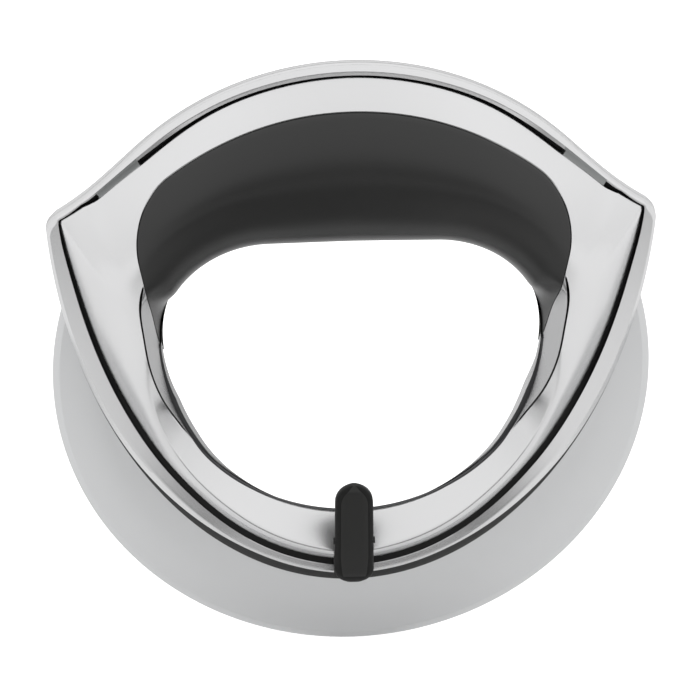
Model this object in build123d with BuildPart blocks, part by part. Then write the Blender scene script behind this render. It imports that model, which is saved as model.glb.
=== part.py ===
# Pizza cutter: a large ring blade turning inside a two-part ring handle.
# Millimetres, +Z up, -Y to the front. The origin is where the blade's edge meets the board.
import os
from math import asin, cos, degrees, pi, radians, sin, sqrt

from build123d import *

# Blade
blade_r = 70.0
blade_bore_r = 49.5
blade_half = 0.75
bevel_width = 1.6
edge_half = 0.12

# Hand opening, measured from the blade's centre
hole_r = 44.5
hole_rise = 7.8
hole_corner_r = 25.0
hole_top = 34.5

# Outline of the handle, measured from the blade's centre
bowl_half = 72.3
bowl_z = 55.0
outline_bottom = 52.5
horn_z = 40.0
horn_round = 4.5
flare_x = 51.0
crown_r = 71.8
crown_rise = 6.3

# Rim plate around the domed band, and the crease between the two
rim_half = 2.4
rim_edge_round = 0.9
rim_crown = 2.6
crease_half = 71.0
crease_z = 75.0
crease_bottom = 48.7
horn_lift = 1.5
flare_sink = 1.0

# Domed band
dome_bottom = 9.5
dome_top = 15.0
ridge_low = 3.0
ridge_top = 17.0
foot_depth = 1.7
foot_slope = 1.5
skin = 1.0
lip_sink = 0.6
lip_splay = 1.0
plate_cover = 2.5

# Grip inlay
grip_margin = 9.6
grip_arc_drop = 3.4
grip_corner_x = 51.8
grip_corner_r = 20.0
grip_foot_x = 46.0
grip_foot_z = 3.0

# Bearing rings and blade slot
bearing_gap = 0.05
bearing_wall = 1.45
bearing_flange_width = 0.75
bearing_flange = 0.7
slot_half = 0.95
slot_gap = 1.2

# Locating dowels
dowel_r = 1.5
dowel_half = 3.5
dowel_top_x = 14.0
dowel_top_z = 41.0
dowel_low_x = 13.0
dowel_low_z = 40.0

# Bearing pegs
peg_r = 0.5
peg_reach = 4.0
peg_count = 5
peg_step = 30.0

# Release lever, measured from the blade's centre and from the middle plane
lever_width = 8.9
lever_toe_width = 9.2
lever_top = 25.0
lever_bottom = 51.0
lever_back = 10.3
lever_front = 13.4
lever_chin = 48.0
lever_toe_front = 8.5
toe_gap = 0.25
toe_height = 2.3
heel_drop = 44.0
lever_edge = 0.9
pivot_depth = 11.2
pivot_drop = 39.5
pin_r = 0.8
pin_head = 0.45
pin_gap = 0.05
barrel_r = 1.6
saddle_half = 2.3
saddle_gap = 0.3
saddle_low = 43.5
saddle_top = 38.2
keeper_half = 4.2
keeper_thick = 1.0
keeper_top = 49.3
keeper_bottom = 52.2

centre_z = blade_r
centre = (0, 0, centre_z)
front_plane = Plane(origin=centre, x_dir=(1, 0, 0), z_dir=(0, -1, 0))


# Half of the hand opening's edge, from its lowest point to its highest, right side
with BuildLine() as hole_half:
    sweep_low = CenterArc((0, hole_rise), hole_r, -90, 90)
    hole_side = Line(sweep_low @ 1, (hole_r, hole_top - hole_corner_r))
    hole_corner = CenterArc((hole_r - hole_corner_r, hole_top - hole_corner_r), hole_corner_r, 0, 90)
    Line(hole_corner @ 1, (0, hole_top))
hole_wire = front_plane.location * hole_half.wire()

# Handle outline with its two horns, and the hand opening through it
flare_z = crown_rise + sqrt(crown_r**2 - flare_x**2)
bowl_drop = bowl_z + outline_bottom
horn_angle = degrees(asin((bowl_z - horn_z) / bowl_drop))
with BuildSketch(front_plane) as outline:
    with BuildLine():
        bowl = EllipticalCenterArc(
            (0, bowl_z), bowl_half, bowl_drop, start_angle=180 + horn_angle, arc_size=180 - 2 * horn_angle
        )
        right_flare = Spline(
            bowl @ 1, (flare_x, flare_z), tangents=((-1, 0.5), (-(flare_z - crown_rise), flare_x))
        )
        crown = ThreePointArc(right_flare @ 1, (0, crown_rise + crown_r), (-flare_x, flare_z))
        Spline(crown @ 1, bowl @ 0, tangents=((-(flare_z - crown_rise), -flare_x), (-1, -0.5)))
    make_face()
    horn_points = outline.vertices().group_by(Axis.X)
    fillet(horn_points[0] + horn_points[-1], radius=horn_round)

with BuildSketch(front_plane) as opening:
    with BuildLine():
        add(hole_half.line)
        mirror(about=Plane.YZ)
    make_face()


with BuildSketch(front_plane) as plate_hole:
    add(opening.sketch_local)
    offset(amount=plate_cover)


deep = 2 * dome_top


def crease_stations() -> list[tuple[float, Vector]]:
    """Share of the way up and point on the crease between dome and rim, right side."""
    drop = crease_z + crease_bottom
    horn_turn = degrees(asin((crease_z - horn_z - horn_lift) / drop))
    stations = []
    for share, angle in ((0, 90), (0.1, 76.5), (0.2, 64.5), (0.3, 54), (0.4, 44), (0.47, 33.5), (0.515, 24)):
        turn = radians(angle)
        stations.append((share, Vector(crease_half * cos(turn), 0, crease_z - drop * sin(turn))))
    horn = Vector(crease_half * cos(radians(horn_turn)), 0, horn_z + horn_lift)
    inner_r = crown_r - rim_crown
    arch = []
    for share, angle in ((0.73, 46), (0.82, 60), (0.91, 75), (1, 90)):
        place = Vector(inner_r * cos(radians(angle)), 0, crown_rise + inner_r * sin(radians(angle)))
        arch.append((share, place))
    flare = (horn + arch[0][1]) * 0.5 - Vector(flare_sink * 0.6, 0, flare_sink * 0.8)
    stations.append((0.55, horn))
    stations.append((0.58, horn + (flare - horn) * 0.3 + Vector(0, 0, 0.3)))
    stations.append((0.64, flare))
    return stations + arch


def dome_half() -> Solid:
    """The right half of the domed band's front, lofted a little way past the middle at both ends."""
    right = []
    for share, crease in crease_stations():
        right.append((share, hole_wire @ share, crease + Vector(centre)))
    turned = []
    for share, inner, outer in (right[1], right[-2]):
        turned.append((share, Vector(-inner.X, inner.Y, inner.Z), Vector(-outer.X, outer.Y, outer.Z)))
    sections = []
    for share, inner, outer in turned[:1] + right + turned[1:]:
        radial = outer - inner
        rise = (1 - cos(pi * share)) / 2
        height = dome_bottom + (dome_top - dome_bottom) * rise
        run = ridge_low + (ridge_top - ridge_low) * rise**3
        front = Vector(0, -1, 0)
        ridge = inner + radial.normalized() * run + front * height
        foot = outer + front * foot_depth
        lean = (foot - ridge) - front * ((1 - foot_slope) * (foot - ridge).dot(front))
        leave = front + radial.normalized() * (lip_splay * (1 - rise) ** 6)
        lip = inner - leave * lip_sink
        sections.append(Wire([Edge.make_spline([lip, ridge, foot], tangents=[leave, radial, lean])]))
    return Solid.extrude(Shell.make_loft(sections).face(), Vector(0, deep, 0))


# The domed band, and the moulded filling one skin under it
with BuildPart() as half_band:
    add(dome_half())
    split(bisect_by=Plane.XZ, keep=Keep.TOP)
    split(bisect_by=Plane.YZ, keep=Keep.TOP)
with BuildPart() as band:
    add(half_band.part)
    mirror(about=Plane.YZ)
with BuildPart() as half_filling:
    add(dome_half().translate((0, skin, 0)))
    split(bisect_by=Plane.XZ, keep=Keep.TOP)
    split(bisect_by=Plane.YZ, keep=Keep.TOP)
    with BuildSketch(front_plane):
        add(opening.sketch_local)
        offset(amount=skin)
    extrude(amount=deep, both=True, mode=Mode.SUBTRACT)

# Region of the grip inlay, seen from the front
grip_top = crown_rise + crown_r - grip_margin
grip_arc_r = crown_r - grip_arc_drop
corner_z = grip_top - grip_arc_r + sqrt(grip_arc_r**2 - grip_corner_x**2)
with BuildPart() as grip_region:
    with BuildSketch(front_plane) as grip_outline:
        with BuildLine():
            arch = ThreePointArc((-grip_corner_x, corner_z), (0, grip_top), (grip_corner_x, corner_z))
            right_edge = Line(arch @ 1, (grip_foot_x, grip_foot_z))
            foot_edge = Line(right_edge @ 1, (-grip_foot_x, grip_foot_z))
            Line(foot_edge @ 1, arch @ 0)
        make_face()
        fillet(grip_outline.vertices().group_by(Axis.Z)[-1], radius=grip_corner_r)
    extrude(amount=deep, both=True)

# Space for the blade and its two bearing rings
bearing_outer_r = blade_bore_r - bearing_gap
bearing_inner_r = bearing_outer_r - bearing_wall
bearing_flange_r = bearing_outer_r + bearing_flange_width
seat_half = slot_half + bearing_flange
slot_r = blade_r + slot_gap
blade_axis = Axis(centre, (0, 1, 0))
with BuildPart() as blade_space:
    with BuildSketch(Plane(origin=centre)) as space_profile:
        with Locations(((bearing_inner_r + bearing_flange_r) / 2, 0)):
            Rectangle(bearing_flange_r - bearing_inner_r, 2 * seat_half)
        with Locations(((bearing_inner_r + slot_r) / 2, 0)):
            Rectangle(slot_r - bearing_inner_r, 2 * slot_half)
    revolve(axis=blade_axis)

# Steel dowels that line up the two halves of the handle
dowel_places = []
for side in (-1, 1):
    dowel_places.append((side * dowel_top_x, dowel_top_z))
    dowel_places.append((side * dowel_low_x, -dowel_low_z))
with BuildPart() as locating_dowels:
    with BuildSketch(front_plane):
        with Locations(*dowel_places):
            Circle(dowel_r)
    extrude(amount=dowel_half, both=True)

# Pegs that hold the front bearing ring to the grip
peg_circle_r = (bearing_inner_r + bearing_outer_r) / 2
peg_start = 90 - peg_step * (peg_count - 1) / 2
with BuildPart() as front_bearing_pegs:
    with BuildSketch(front_plane):
        with PolarLocations(peg_circle_r, peg_count, start_angle=peg_start, angular_range=peg_step * peg_count):
            Circle(peg_r)
    extrude(amount=peg_reach)

# Blade: a flat ring ground to an edge from both sides
with BuildPart() as blade:
    with BuildSketch(Plane(origin=centre)):
        with BuildLine():
            Polyline(
                (blade_bore_r, -blade_half),
                (blade_r - bevel_width, -blade_half),
                (blade_r, -edge_half),
                (blade_r, edge_half),
                (blade_r - bevel_width, blade_half),
                (blade_bore_r, blade_half),
                close=True,
            )
        make_face()
    revolve(axis=blade_axis)

# Front bearing ring: hub under the blade's bore, and a flange beside the blade
with BuildPart() as front_bearing_ring:
    with BuildSketch(Plane(origin=centre)):
        with BuildLine():
            Polyline(
                (bearing_inner_r, 0),
                (bearing_outer_r, 0),
                (bearing_outer_r, -slot_half),
                (bearing_flange_r, -slot_half),
                (bearing_flange_r, -seat_half),
                (bearing_inner_r, -seat_half),
                close=True,
            )
        make_face()
    revolve(axis=blade_axis)
    add(front_bearing_pegs.part, mode=Mode.SUBTRACT)

# Front shell: polished skin with its rim plate, open at the grip
with BuildPart() as front_shell:
    with BuildSketch(front_plane):
        add(outline.sketch_local)
        add(plate_hole.sketch_local, mode=Mode.SUBTRACT)
    extrude(amount=rim_half)
    rim_face = front_shell.faces().sort_by(Axis.Y)[0]
    fillet(rim_face.outer_wire().edges(), radius=rim_edge_round)
    split(bisect_by=Plane.YZ, keep=Keep.TOP)
    add(half_band.part)
    add(half_filling.part, mode=Mode.SUBTRACT)
    add(grip_region.part, mode=Mode.SUBTRACT)
    add(blade_space.part, mode=Mode.SUBTRACT)
    mirror(about=Plane.YZ)

# Front core: moulded filling under the skin, which carries the bearing ring
with BuildPart() as front_core:
    add(half_filling.part)
    add(grip_region.part, mode=Mode.SUBTRACT)
    add(blade_space.part, mode=Mode.SUBTRACT)
    add(locating_dowels.part, mode=Mode.SUBTRACT)
    mirror(about=Plane.YZ)

# Front grip: soft black inlay between the shell's edge and the hand opening
with BuildPart() as front_grip:
    add(half_band.part)
    add(grip_region.part, mode=Mode.INTERSECT)
    add(blade_space.part, mode=Mode.SUBTRACT)
    add(locating_dowels.part, mode=Mode.SUBTRACT)
    add(front_bearing_pegs.part, mode=Mode.SUBTRACT)
    mirror(about=Plane.YZ)

# Release lever: a rounded bar in front view, cut to its side view, where X runs to the front
side_plane = Plane(origin=centre, x_dir=(0, -1, 0), z_dir=(-1, 0, 0))
toe_depth = rim_half + keeper_thick + toe_gap
cap_r = lever_width / 2
toe_r = lever_toe_width / 2
with BuildPart() as release_lever:
    with BuildSketch(front_plane):
        with Locations((0, -lever_top - cap_r)):
            Circle(cap_r)
        with Locations((0, -lever_bottom + toe_r)):
            Circle(toe_r)
        make_hull()
    extrude(amount=lever_front)
    chamfer(release_lever.faces().sort_by(Axis.Y)[0].outer_wire().edges(), length=lever_edge)
    with BuildSketch(side_plane):
        with BuildLine():
            Polyline(
                (lever_back, 0),
                (lever_front, 0),
                (lever_front, -lever_chin),
                (lever_toe_front, -lever_bottom),
                (toe_depth, -lever_bottom),
                (toe_depth, -lever_bottom + toe_height),
                (lever_back, -heel_drop),
                close=True,
            )
        make_face()
    extrude(amount=lever_width, both=True, mode=Mode.INTERSECT)
    with BuildSketch(side_plane):
        with Locations((pivot_depth, -pivot_drop)):
            Circle(barrel_r + saddle_gap)
        with Locations((lever_back / 2 + pivot_depth / 2 - 1, -pivot_drop)):
            Rectangle(pivot_depth - lever_back + 2, 2 * (barrel_r + saddle_gap) + 3)
    extrude(amount=saddle_half + saddle_gap, both=True, mode=Mode.SUBTRACT)
    with BuildSketch(side_plane):
        with Locations((pivot_depth, -pivot_drop)):
            Circle(pin_r)
    extrude(amount=lever_width, both=True, mode=Mode.SUBTRACT)

# Saddle that carries the lever, seated on the domed band
with BuildPart() as lever_saddle:
    with BuildSketch(side_plane):
        with Locations((pivot_depth, -pivot_drop)):
            Circle(barrel_r)
        with BuildLine():
            Polyline(
                (pivot_depth, -pivot_drop + barrel_r),
                (pivot_depth, -pivot_drop - barrel_r),
                (lever_back - saddle_gap, -saddle_low),
                (dome_bottom / 2, -saddle_low),
                (dome_bottom / 2, -saddle_top),
                close=True,
            )
        make_face()
        with Locations((pivot_depth, -pivot_drop)):
            Circle(pin_r + pin_gap, mode=Mode.SUBTRACT)
    extrude(amount=saddle_half, both=True)
    add(band.part, mode=Mode.SUBTRACT)

# Pivot pin, pressed into the lever's cheeks
with BuildPart() as lever_pin:
    with BuildSketch(side_plane):
        with Locations((pivot_depth, -pivot_drop)):
            Circle(pin_r)
    extrude(amount=lever_width / 2 + pin_head, both=True)

# Keeper plate on the rim under the lever's toe
with BuildPart() as lever_keeper:
    with BuildSketch(front_plane.offset(rim_half)):
        with Locations((0, -(keeper_top + keeper_bottom) / 2)):
            RectangleRounded(2 * keeper_half, keeper_bottom - keeper_top, radius=0.8)
    extrude(amount=keeper_thick)

# Rear half of the handle, the front half's mirror image
with BuildPart() as rear_shell:
    mirror(front_shell.part, about=Plane.XZ)
with BuildPart() as rear_core:
    mirror(front_core.part, about=Plane.XZ)
with BuildPart() as rear_grip:
    mirror(front_grip.part, about=Plane.XZ)
with BuildPart() as rear_bearing_ring:
    mirror(front_bearing_ring.part, about=Plane.XZ)
with BuildPart() as rear_bearing_pegs:
    mirror(front_bearing_pegs.part, about=Plane.XZ)

pieces = {
    "blade": blade,
    "front_shell": front_shell,
    "rear_shell": rear_shell,
    "front_core": front_core,
    "rear_core": rear_core,
    "front_grip": front_grip,
    "rear_grip": rear_grip,
    "front_bearing_ring": front_bearing_ring,
    "rear_bearing_ring": rear_bearing_ring,
    "front_bearing_pegs": front_bearing_pegs,
    "rear_bearing_pegs": rear_bearing_pegs,
    "locating_dowels": locating_dowels,
    "release_lever": release_lever,
    "lever_saddle": lever_saddle,
    "lever_pin": lever_pin,
    "lever_keeper": lever_keeper,
}
os.makedirs("parts", exist_ok=True)
for name, piece in pieces.items():
    piece.part.label = name
    export_step(piece.part, f"parts/{name}.step")
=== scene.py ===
"""Looks of a ring-handled pizza cutter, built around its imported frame."""
import logging
import math
from collections.abc import Callable
from dataclasses import dataclass, field
from enum import Enum, IntEnum

import bmesh
import bpy
import numpy as np
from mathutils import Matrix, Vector


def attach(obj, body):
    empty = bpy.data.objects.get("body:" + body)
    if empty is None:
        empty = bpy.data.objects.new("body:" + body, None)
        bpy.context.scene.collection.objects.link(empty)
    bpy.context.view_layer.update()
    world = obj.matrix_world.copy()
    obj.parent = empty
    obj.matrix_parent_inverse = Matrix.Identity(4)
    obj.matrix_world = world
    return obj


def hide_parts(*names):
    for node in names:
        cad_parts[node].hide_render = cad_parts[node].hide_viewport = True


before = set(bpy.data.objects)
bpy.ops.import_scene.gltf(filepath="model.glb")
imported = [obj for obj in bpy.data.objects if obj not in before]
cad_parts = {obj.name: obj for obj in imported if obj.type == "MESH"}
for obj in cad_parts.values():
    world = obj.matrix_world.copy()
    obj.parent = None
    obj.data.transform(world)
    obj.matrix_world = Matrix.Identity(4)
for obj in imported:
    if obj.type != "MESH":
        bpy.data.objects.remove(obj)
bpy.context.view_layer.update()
MM = 0.001
MERGE = 2e-7
CENTRE_Z = 70.0
CENTRE = Vector((0, 0, 0.07))
MIX_LOW, MIX_HIGH, MIX_RESULT = 6, 7, 2
LOG = logging.getLogger("pizza_cutter")
Triple = tuple[float, float, float]
Span = tuple[float, float]
Array = np.ndarray
Piece = bpy.types.Object
Socket = bpy.types.NodeSocket


class Side(Enum):
    """The two halves of the hand ring, by the sign of their depth along Y."""

    FRONT = -1
    REAR = 1


class Grain(Enum):
    """The shared surface effects."""

    POLISH = "polish_marks"
    TURNED = "turned_grain"
    MOULDED = "moulded_grain"


class Slot(IntEnum):
    """The material slots of a polished skin."""

    POLISHED = 0
    # Black: painted shade in the crease groove and on the wall's edge line, and the dark seam at the front
    # skin's mouth.
    SHADE_AND_SEAM = 1
    BRIDGE = 2
    # Painted shade under the rim.
    UNDER_SHADE = 3
    # The wall strip, in a darker copy of the polish: painted shade.
    SHADED_WALL = 4


class Graph:
    """A node tree that is written node by node."""

    def __init__(self, tree: bpy.types.NodeTree) -> None:
        """Takes the tree to write in."""
        self.tree = tree

    def add(self, kind: str) -> bpy.types.Node:
        """Adds a node of one type."""
        return self.tree.nodes.new(kind)

    def feed(self, target: Socket, value: object) -> None:
        """Joins a socket, or sets a number or a tuple, on an input."""
        if isinstance(value, Socket):
            self.tree.links.new(value, target)
        else:
            target.default_value = value

    def math(self, operation: str, *values: object) -> Socket:
        """Adds one Math node, fed with numbers or sockets, and gives back its output."""
        node = self.add("ShaderNodeMath")
        node.operation = operation
        for place, value in enumerate(values):
            self.feed(node.inputs[place], value)
        return node.outputs[0]

    def ramp(self, value: Socket, reach: Span, result: Span, smooth: bool = True) -> Socket:
        """Maps the range reach to the range result, easing in and out if smooth."""
        node = self.add("ShaderNodeMapRange")
        node.interpolation_type = "SMOOTHSTEP" if smooth else "LINEAR"
        for name, number in zip(("From Min", "From Max", "To Min", "To Max"), (*reach, *result)):
            node.inputs[name].default_value = number
        self.feed(node.inputs["Value"], value)
        return node.outputs["Result"]

    def noise(self, vector: Socket, scale: object, detail: float) -> Socket:
        """Adds a noise texture, whose scale is a number or a socket."""
        node = self.add("ShaderNodeTexNoise")
        node.inputs["Detail"].default_value = detail
        self.feed(node.inputs["Vector"], vector)
        self.feed(node.inputs["Scale"], scale)
        return node.outputs["Fac"]

    def parts(self, vector: Socket) -> bpy.types.bpy_prop_collection:
        """Takes a vector apart into its X, Y and Z."""
        node = self.add("ShaderNodeSeparateXYZ")
        self.feed(node.inputs["Vector"], vector)
        return node.outputs

    def place(self, kind: str = "Object") -> Socket:
        """Adds texture coordinates of one kind."""
        return self.add("ShaderNodeTexCoord").outputs[kind]


Writer = Callable[[Graph, Socket, Socket], tuple[Socket, Socket]]


class GrainGroups:
    """Builds each shared surface effect once, as a shader node group."""

    def __init__(self) -> None:
        """Builds the three groups."""
        self.groups = {
            Grain.POLISH: self.group(Grain.POLISH, self.polish_marks),
            Grain.TURNED: self.group(Grain.TURNED, self.turned_grain),
            Grain.MOULDED: self.group(Grain.MOULDED, self.moulded_grain),
        }

    def group(self, kind: Grain, writer: Writer) -> bpy.types.NodeTree:
        """Makes a group with a Scale input and Tone and Height outputs.

        Args:
            kind: The effect that the group is for.
            writer: The method that writes its nodes and gives back tone and height.

        Returns:
            The finished group.
        """
        tree = bpy.data.node_groups.new(kind.value, "ShaderNodeTree")
        tree.interface.new_socket("Scale", in_out="INPUT", socket_type="NodeSocketFloat")
        for name in ("Tone", "Height"):
            tree.interface.new_socket(name, in_out="OUTPUT", socket_type="NodeSocketFloat")
        entry = tree.nodes.new("NodeGroupInput")
        leave = tree.nodes.new("NodeGroupOutput")
        graph = Graph(tree)
        for name, value in zip(("Tone", "Height"), writer(graph, graph.place(), entry.outputs["Scale"])):
            graph.feed(leave.inputs[name], value)
        return tree

    def polish_marks(self, graph: Graph, place: Socket, scale: Socket) -> tuple[Socket, Socket]:
        """Cloudy haze and hair-fine buffing marks of polished metal."""
        stretch = graph.add("ShaderNodeMapping")
        stretch.inputs["Scale"].default_value = (1.0, 1.0, 9.0)
        stretch.inputs["Rotation"].default_value = (0.0, 0.6, 0.3)
        graph.feed(stretch.inputs["Vector"], place)
        return graph.noise(place, 55.0, 3.0), graph.noise(stretch.outputs["Vector"], scale, 5.0)

    def turned_grain(self, graph: Graph, place: Socket, scale: Socket) -> tuple[Socket, Socket]:
        """Fine rings that a grinding wheel leaves around the blade's centre."""
        parts = graph.parts(place)
        rise = graph.math("SUBTRACT", parts["Z"], CENTRE.z)
        squares = [graph.math("MULTIPLY", value, value) for value in (parts["X"], rise)]
        radius = graph.math("SQRT", graph.math("ADD", *squares))
        turn = graph.math("ARCTAN2", rise, parts["X"])
        rings = graph.add("ShaderNodeCombineXYZ")
        graph.feed(rings.inputs["X"], graph.math("MULTIPLY", radius, scale))
        graph.feed(rings.inputs["Y"], graph.math("MULTIPLY", turn, 2.2))
        return graph.noise(place, 24.0, 3.0), graph.noise(rings.outputs["Vector"], 1.0, 6.0)

    def moulded_grain(self, graph: Graph, place: Socket, scale: Socket) -> tuple[Socket, Socket]:
        """Spark-eroded pebble of moulded plastic and soft rubber."""
        return graph.noise(place, 42.0, 4.0), graph.noise(place, scale, 4.0)


GROUPS = GrainGroups()


@dataclass(frozen=True)
class Finish:
    """One procedural finish: a shader whose colour, roughness and relief vary over the surface."""

    name: str
    grain: Grain
    colour: Triple
    colour_low: Triple
    roughness: Span
    scale: float
    relief: float
    reach: float
    metallic: float = 0.0
    specular: float = 0.5
    edge_tint: Triple = (1.0, 1.0, 1.0)

    def material(self) -> bpy.types.Material:
        """Builds the finish once and gives it back after that.

        Returns:
            The Blender material.
        """
        found = bpy.data.materials.get(self.name)
        if found:
            return found
        made = bpy.data.materials.new(self.name)
        made.use_nodes = True
        graph = Graph(made.node_tree)
        shader = made.node_tree.nodes["Principled BSDF"].inputs
        shader["Metallic"].default_value = self.metallic
        shader["Specular IOR Level"].default_value = self.specular
        shader["Specular Tint"].default_value = (*self.edge_tint, 1.0)
        effect = graph.add("ShaderNodeGroup")
        effect.node_tree = GROUPS.groups[self.grain]
        effect.inputs["Scale"].default_value = self.scale
        blend = graph.add("ShaderNodeMix")
        blend.data_type = "RGBA"
        blend.inputs[MIX_LOW].default_value = (*self.colour_low, 1.0)
        blend.inputs[MIX_HIGH].default_value = (*self.colour, 1.0)
        graph.feed(blend.inputs[0], effect.outputs["Tone"])
        graph.feed(shader["Base Color"], blend.outputs[MIX_RESULT])
        rough = graph.ramp(effect.outputs["Tone"], (0.0, 1.0), self.roughness, smooth=False)
        graph.feed(shader["Roughness"], rough)
        bump = graph.add("ShaderNodeBump")
        bump.inputs["Strength"].default_value = self.relief
        bump.inputs["Distance"].default_value = self.reach
        graph.feed(bump.inputs["Height"], effect.outputs["Height"])
        graph.feed(shader["Normal"], bump.outputs["Normal"])
        return made


POLISHED = Finish(
    "polished_skin", Grain.POLISH, (0.7, 0.7, 0.705), (0.67, 0.67, 0.675), (0.22, 0.28),
    scale=900.0, relief=0.02, reach=0.0002, metallic=1.0, edge_tint=(0.85, 0.85, 0.85),
)
SATIN = Finish(
    "satin_blade", Grain.TURNED, (0.65, 0.655, 0.66), (0.58, 0.585, 0.59), (0.3, 0.4),
    scale=9000.0, relief=0.12, reach=0.00006, metallic=1.0,
)
SOFT = Finish(
    "soft_grip", Grain.MOULDED, (0.004, 0.004, 0.0037), (0.003, 0.003, 0.0028), (0.3, 0.38),
    scale=4200.0, relief=0.18, reach=0.00008, specular=0.6,
)
LEVER_BLACK = Finish(
    "lever_black", Grain.MOULDED, (0.0085, 0.0085, 0.008), (0.0065, 0.0065, 0.006), (0.4, 0.52),
    scale=5200.0, relief=0.14, reach=0.00006, specular=0.4,
)
# A darker copy of the lever's black: painted shade on its bevels and below its chin.
LEVER_SHADE = Finish(
    "lever_painted_shade", Grain.MOULDED, (0.006, 0.006, 0.0058), (0.0045, 0.0045, 0.0043), (0.5, 0.62),
    scale=5200.0, relief=0.14, reach=0.00006, specular=0.18,
)
# Black that stands in for shade: painted shade in the crease groove and on the wall's edge line, and the dark
# seam at the front skin's mouth.
SHADE_AND_SEAM_BLACK = Finish(
    "shade_and_seam_black", Grain.MOULDED, (0.006, 0.006, 0.006), (0.004, 0.004, 0.004), (0.5, 0.6),
    scale=3000.0, relief=0.05, reach=0.00005, specular=0.2,
)
# Near-black polished metal: painted shade on the rim's lower edge and outer wall, low on the ring.
UNDER_EDGE_SHADE = Finish(
    "painted_under_edge_shade", Grain.POLISH, (0.06, 0.06, 0.06), (0.045, 0.045, 0.045), (0.3, 0.38),
    scale=900.0, relief=0.02, reach=0.0002, metallic=1.0,
)
# A darker copy of the polished finish: painted shade on the opening's wall strip.
SHADED_WALL_POLISH = Finish(
    "painted_shade_wall", Grain.POLISH, (0.5, 0.5, 0.505), (0.47, 0.47, 0.475), (0.24, 0.3),
    scale=900.0, relief=0.02, reach=0.0002, metallic=1.0, edge_tint=(0.7, 0.7, 0.7),
)
BRIDGE = Finish(
    "bridge_satin", Grain.POLISH, (0.4, 0.41, 0.41), (0.36, 0.37, 0.37), (0.28, 0.36),
    scale=1500.0, relief=0.05, reach=0.00005, metallic=1.0,
)
CORE_BLACK = Finish(
    "core_moulding", Grain.MOULDED, (0.045, 0.045, 0.047), (0.035, 0.035, 0.037), (0.5, 0.65),
    scale=2600.0, relief=0.2, reach=0.0001,
)
BEARING = Finish(
    "bearing_acetal", Grain.MOULDED, (0.68, 0.68, 0.65), (0.62, 0.62, 0.59), (0.35, 0.5),
    scale=3000.0, relief=0.08, reach=0.00005,
)
PIN_STEEL = Finish(
    "drawn_pin_steel", Grain.POLISH, (0.58, 0.58, 0.6), (0.5, 0.5, 0.52), (0.22, 0.34),
    scale=2600.0, relief=0.08, reach=0.00005, metallic=1.0,
)


def ease(value: Array | float, low: float, high: float) -> Array | float:
    """Rises smoothly from 0 at low to 1 at high."""
    share = np.clip((value - low) / (high - low), 0.0, 1.0)
    return share * share * (3.0 - 2.0 * share)


def show(thing: Piece) -> None:
    """Puts an object into the scene."""
    bpy.context.scene.collection.objects.link(thing)


def arc(middle: Array, radius: Array | float, turns: Span, count: int) -> Array:
    """Points along an arc between two angles, with one radius or one for each direction."""
    angles = np.linspace(*turns, count)
    return middle + radius * np.column_stack((np.cos(angles), np.sin(angles)))


def loft_piece(
    name: str,
    rows: list[Array] | Array,
    finishes: list[Finish],
    closed: bool = True,
    flip: bool = True,
    choice: list[int] | None = None,
    sharp: float = 32.0,
) -> Piece:
    """Joins closed loops of points into a smooth-shaded mesh object.

    Args:
        name: The piece's name.
        rows: The loops, in millimetres in the object's frame.
        finishes: Its material slots in order.
        closed: Whether the last loop joins the first; otherwise both are capped.
        flip: Whether the faces turn the other way round.
        choice: The slot of each face, or None for the first.
        sharp: Edges that turn by more than this many degrees stay sharp.

    Returns:
        The new object.
    """
    count, columns = len(rows), len(rows[0])
    faces = []
    for row in range(count if closed else count - 1):
        here = row * columns
        there = ((row + 1) % count) * columns
        for column in range(columns):
            after = (column + 1) % columns
            faces.append((here + column, there + column, there + after, here + after))
    if not closed:
        faces.append(tuple(range(columns))[::-1])
        faces.append(tuple(range((count - 1) * columns, count * columns)))
    if flip:
        faces = [face[::-1] for face in faces]
    mesh = bpy.data.meshes.new(name)
    mesh.from_pydata((np.vstack(rows) * MM).tolist(), [], faces)
    for finish in finishes:
        mesh.materials.append(finish.material())
    mesh.polygons.foreach_set("use_smooth", [True] * len(mesh.polygons))
    if choice is not None:
        mesh.polygons.foreach_set("material_index", choice)
    form = bmesh.new()
    form.from_mesh(mesh)
    bmesh.ops.remove_doubles(form, verts=form.verts, dist=MERGE)
    form.to_mesh(mesh)
    form.free()
    mesh.set_sharp_from_angle(angle=math.radians(sharp))
    piece = bpy.data.objects.new(name, mesh)
    show(piece)
    return piece


def dress(name: str, finish: Finish) -> Piece:
    """Gives one solid of the frame its finish, and gives the solid back."""
    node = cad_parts[name]
    node.data.materials.clear()
    node.data.materials.append(finish.material())
    return node


@dataclass(frozen=True)
class Table:
    """Values that change along the hand ring, from its lowest point, 0, to its crown, 1."""

    shares: tuple[float, ...]
    values: tuple[float, ...]

    def at(self, share: float) -> float:
        """The value at one place along the ring."""
        return float(np.interp(share, self.shares, self.values))


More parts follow.
